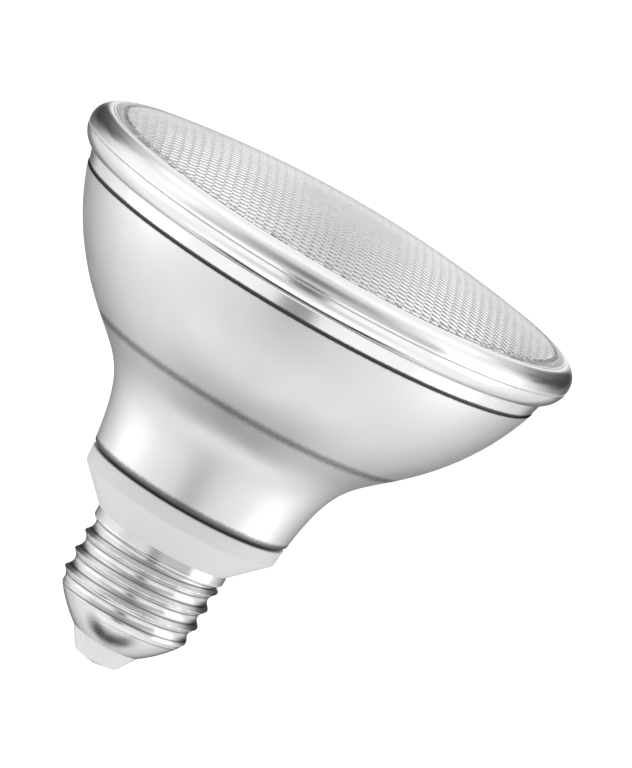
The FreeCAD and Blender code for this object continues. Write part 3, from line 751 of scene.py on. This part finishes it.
def lattice_points(reach):
    """Points that divide each small lens into equal triangles, out to a radius: a finer grid, with its rows
    towards the corners of the lenses."""
    step = LENSLET_REACH / LENSLET_STEPS
    first, second = WINDOW_TURN + math.radians(30), WINDOW_TURN + math.radians(90)
    count = int(reach / step / math.sqrt(0.75)) + 1
    for column in range(-count, count + 1):
        for row in range(-count, count + 1):
            x = step * (column * math.cos(first) + row * math.cos(second))
            y = step * (column * math.sin(first) + row * math.sin(second))
            if math.hypot(x, y) < reach:
                yield x, y


def lens_depth(x, y):
    """How far the inner face hangs below its dome at a place."""
    if in_window(x, y):
        return WINDOW_RISE
    return LENSLET_SAG * max(0, 1 - (lattice_cell(x, y)[2] / LENSLET_REACH) ** 2)


def lens_outside(builder, points, crown):
    """Outer face, from the edge of the small lenses round the flange to the crown; gives its first ring."""
    outside = eased(filled(points, LINE_DEPTH)) + [(0, crown)]
    rings = [turned_ring(builder, *place) for place in outside]
    silvered_from = points[0][0] + LENS_WALL
    for low, high, (radius, height) in zip(rings, rings[1:], outside[1:]):
        silvered = radius > silvered_from and height < crown - RIM_DROP
        join_rings(builder, low, high, SILVERED if silvered else CLEAR)
    return rings[0]


def lens_inside(builder, ring, edge, sample):
    """Inner face within the ring: a dome through its edge and a sample point, with the small lenses."""
    edge_radius, edge_height = edge
    curve = (edge_radius ** 2 - sample[0] ** 2) / (sample[1] - edge_height)
    places = [Vector(vertex.co[:2]) for vertex in ring]
    places += [Vector(place) for place in lattice_points(edge_radius - LENSLET_REACH / LENSLET_STEPS)]
    flat, _, faces, _, _, _ = delaunay_2d_cdt(places, [], [], 0, WELD / 10)
    vertices = list(ring)
    for x, y in flat[len(ring):]:
        height = edge_height + (edge_radius ** 2 - x * x - y * y) / curve - lens_depth(x, y)
        vertices.append(builder.verts.new((x, y, height)))
    for face in faces:
        middle = sum((flat[index] for index in face), Vector((0, 0))) / len(face)
        made = builder.faces.new([vertices[index] for index in face])
        made.material_index = WINDOW if in_window(*middle) else CLEAR


def lens_piece(frame):
    """Front glass: the solid's dome and flange outside, rows of small lenses round a plain window inside."""
    points = outline_of(frame["nodes"]["front_lens"])
    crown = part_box("front_lens")[1].z
    edge = next(index for index, place in enumerate(points) if points[index + 1][1] < place[1] - LENS_WALL)
    builder = bmesh.new()
    ring = lens_outside(builder, points[edge:], crown)
    lens_inside(builder, ring, edge=points[edge], sample=points[0])
    made = mesh_piece("lens_glass", builder, [clear_glass(), rim_silver(), window_glass()])
    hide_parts("front_lens")
    return made


# Collar, insulator and contact

def collar_piece(frame):
    points = outline_of(frame["nodes"]["base_collar"])
    made = turned("collar", rounded(points, COLLAR_CORNER), [white_plastic()])
    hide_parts("base_collar")
    return made


def insulator_piece(frame):
    points = outline_of(frame["nodes"]["cap_insulator"])
    made = turned("insulator", rounded(points, INSULATOR_CORNER), [insulator_white()])
    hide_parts("cap_insulator")
    return made


def contact_piece(frame):
    """Contact under the insulator; its outline is closed on the axis."""
    points = outline_of(frame["nodes"]["centre_contact"])
    points = [(0, points[0][1])] + points + [(0, points[-1][1])]
    made = turned("contact_button", rounded(points, BUTTON_CORNER), [nickel()])
    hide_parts("centre_contact")
    return made


# Screw shell

def thread_share(height, angle, low, high):
    """Height of the rolled thread above its root at a place, from 0 to 1: sharp crests and hollow valleys."""
    turns = (height - low) / THREAD_PITCH - (angle - THREAD_START) / math.tau + 0.5
    from_crest = math.hypot(abs(turns - round(turns)) * 2, THREAD_CREST_SHARE)
    fade = min(1, max(0, (height - low) / THREAD_FADE), max(0, (high - height) / (THREAD_FADE / 2)))
    return (1 - min(1, from_crest)) ** 2 * fade


def rolled_ring(builder, radius, height, thread):
    """Ring of vertices that the thread, from its lowest to its highest point, pushes outwards."""
    ring = turned_ring(builder, radius, height)
    for vertex in ring:
        angle = math.atan2(vertex.co.y, vertex.co.x)
        grown = 1 + THREAD_DEPTH * thread_share(height, angle, *thread) / radius
        vertex.co.x *= grown
        vertex.co.y *= grown
    return ring


def shell_path(foot, root, skirt, thread, top):
    """Outside of the shell without its thread, from the foot of the taper to the top of the skirt."""
    taper = bulged(foot, (root, thread[0]), TAPER_BULGE)
    body = [taper[-1], (root, thread[0]), (root, thread[1]), (skirt, top - SKIRT_HEIGHT), (skirt, top)]
    return finely(taper + rounded(body, SHELL_CORNER)[1:], THREAD_PITCH / THREAD_STEPS_PER_TURN)


def shell_piece(frame):
    """Screw shell of thin sheet, with the thread rolled finely."""
    low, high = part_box("screw_shell")
    root, skirt = high.x - THREAD_DEPTH, high.x - SKIRT_SETBACK
    thread = (low.z + TAPER_HEIGHT, high.z - SKIRT_TOTAL)
    insulator = outline_of(frame["nodes"]["cap_insulator"])
    foot = (max(radius for radius, height in insulator if abs(height - low.z) < WELD), low.z)
    builder = bmesh.new()
    outside = shell_path(foot, root, skirt, thread, high.z)
    inside = [(skirt, high.z), (skirt, high.z - SKIRT_HEIGHT), (root, thread[1]), (root, thread[0]), foot]
    rings = [rolled_ring(builder, *place, thread) for place in outside]
    rings += [turned_ring(builder, radius - CAP_SHEET, height) for radius, height in inside]
    join_loop(builder, rings)
    made = mesh_piece("screw_cap", builder, [threaded_nickel(*thread)])
    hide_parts("screw_shell")
    return made


# Pieces that keep their solid's shape

def dress_phosphor(mesh):
    """Phosphor on the sunk floor of each LED package."""
    mesh.materials.append(plain(*PHOSPHOR))
    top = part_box("led_packages")[1].z
    for face in mesh.polygons:
        if face.normal.z > FACING_UP and face.center.z < top - PHOSPHOR_DEPTH:
            face.material_index = 1


def dress_nodes(frame):
    """Materials of the pieces that keep their solid's shape."""
    materials = {look: plain(*look) for look in dict.fromkeys(LOOKS.values())}
    for name, look in LOOKS.items():
        mesh = frame["nodes"][name].data
        mesh.materials.clear()
        mesh.materials.append(materials[look])
    dress_phosphor(frame["nodes"]["led_packages"].data)


# Stage, light and camera

def grey(level):
    return level, level, level


def ramp(tree, value, stops):
    """Grey level of a value from 0 to 1, by stops (place, level)."""
    node = tree.nodes.new("ShaderNodeValToRGB")
    node.color_ramp.interpolation = "EASE"
    while len(node.color_ramp.elements) < len(stops):
        node.color_ramp.elements.new(1)
    for element, (place, level) in zip(node.color_ramp.elements, stops):
        element.position = place
        element.color = (*grey(level), 1)
    tree.links.new(value, node.inputs[0])
    return node.outputs[0]


def edged(low, high, edge):
    """Stops of a ramp that is 1 between two places, counted from the ramp's middle."""
    return (0.5 + low - edge, 0), (0.5 + low + edge, 1), (0.5 + high - edge, 1), (0.5 + high + edge, 0)


def surround_row(tree, azimuth, levels):
    """Grey of the surround at one elevation."""
    if len(levels) == 1:
        return grey(levels[0][1])
    return ramp(tree, azimuth, [(angle / 180, level) for angle, level in levels])


def surround(tree, azimuth, elevation):
    """Grey of the surround, where each elevation's row blends into the next."""
    shade = surround_row(tree, azimuth, SURROUND[0][1])
    for (below, _), (above, levels) in zip(SURROUND, SURROUND[1:]):
        rise = ramp(tree, elevation, ((below / 180 + 0.5, 0), (above / 180 + 0.5, 1)))
        shade = mixed(tree, rise, shade, surround_row(tree, azimuth, levels))
    return shade


def with_panels(tree, shade, around, elevation):
    """The shade with the panels over it."""
    for left, right, low, high, level, edge in PANELS:
        across = ramp(tree, around, edged(left / 360, right / 360, edge / 360))
        upward = ramp(tree, elevation, edged(low / 180, high / 180, edge / 180))
        shade = mixed(tree, math_node(tree, "MULTIPLY", across, upward), shade, grey(level))
    return shade


def with_bar(tree, shade, x, y, z):
    """The shade with the dark bar over it, in directions that point down."""
    across = ramp(tree, math_node(tree, "MULTIPLY_ADD", y, 0.5, 0.5), BAR_ACROSS)
    along = ramp(tree, math_node(tree, "ABSOLUTE", x), BAR_ALONG)
    share = math_node(tree, "MULTIPLY", math_node(tree, "MULTIPLY", across, along),
                      math_node(tree, "LESS_THAN", z, 0))
    return mixed(tree, share, shade, grey(BAR_LEVEL))


def light():
    """Soft surround in the manner of a product studio: white panels at the sides, darker gaps between."""
    world = bpy.data.worlds.new("surround")
    bpy.context.scene.world = world
    world.use_nodes = True
    tree = world.node_tree
    x, y, z = coordinates(tree, "Generated")
    forward = math_node(tree, "MULTIPLY", y, -1)
    off_camera = math_node(tree, "ARCTAN2", math_node(tree, "ABSOLUTE", x), forward)
    azimuth = math_node(tree, "DIVIDE", off_camera, math.pi)
    turns = math_node(tree, "DIVIDE", math_node(tree, "ARCTAN2", x, forward), math.tau)
    around = math_node(tree, "ADD", turns, 0.5)
    rise = math_node(tree, "DIVIDE", math_node(tree, "ARCSINE", z), math.pi)
    elevation = math_node(tree, "ADD", rise, 0.5)
    shade = with_panels(tree, surround(tree, azimuth, elevation), around, elevation)
    background = tree.nodes["Background"]
    background.inputs["Strength"].default_value = SURROUND_STRENGTH
    tree.links.new(with_bar(tree, shade, x, y, z), background.inputs["Color"])


def floor():
    """Plain pale floor, which the lamp's glass and metal don't mirror."""
    builder = bmesh.new()
    bmesh.ops.create_grid(builder, x_segments=1, y_segments=1, size=FLOOR_SIZE / 2,
                          matrix=Matrix.Translation((0, 0, FLOOR_Z)))
    mesh = bpy.data.meshes.new("floor")
    builder.to_mesh(mesh)
    builder.free()
    white = principled("floor", FLOOR_COLOUR, roughness=1.0, Emission_Color=(1, 1, 1, 1),
                       Emission_Strength=FLOOR_GLOW)
    mesh.materials.append(white)
    made = bpy.data.objects.new("floor", mesh)
    bpy.context.scene.collection.objects.link(made)
    made.visible_glossy = False


def camera():
    """Distant camera that is tilted down a little and rolled, so that the lamp leans in the picture."""
    data = bpy.data.cameras.new("camera")
    data.sensor_fit = "VERTICAL"
    data.sensor_width = data.sensor_height = SENSOR
    data.lens = SENSOR * CAMERA_DISTANCE / PICTURE_HEIGHT
    data.clip_start, data.clip_end = CAMERA_CLIP
    made = bpy.data.objects.new("camera", data)
    bpy.context.scene.collection.objects.link(made)
    back = Vector((0, -math.cos(CAMERA_ELEVATION), math.sin(CAMERA_ELEVATION)))
    right, up = Vector((1, 0, 0)), Vector((0, math.sin(CAMERA_ELEVATION), math.cos(CAMERA_ELEVATION)))
    turned_right = right * math.cos(CAMERA_ROLL) + up * math.sin(CAMERA_ROLL)
    turned_up = up * math.cos(CAMERA_ROLL) - right * math.sin(CAMERA_ROLL)
    turn = Matrix((turned_right, turned_up, back)).transposed()
    made.matrix_world = Matrix.Translation(CAMERA_TARGET + back * CAMERA_DISTANCE) @ turn.to_4x4()
    bpy.context.scene.camera = made


def main():
    clear_scene()
    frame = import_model()
    dress_nodes(frame)
    lens_piece(frame)
    bowl_piece(frame)
    collar_piece(frame)
    shell_piece(frame)
    insulator_piece(frame)
    contact_piece(frame)
    light()
    floor()
    camera()
    bpy.context.scene.view_settings.view_transform = "Standard"


main()
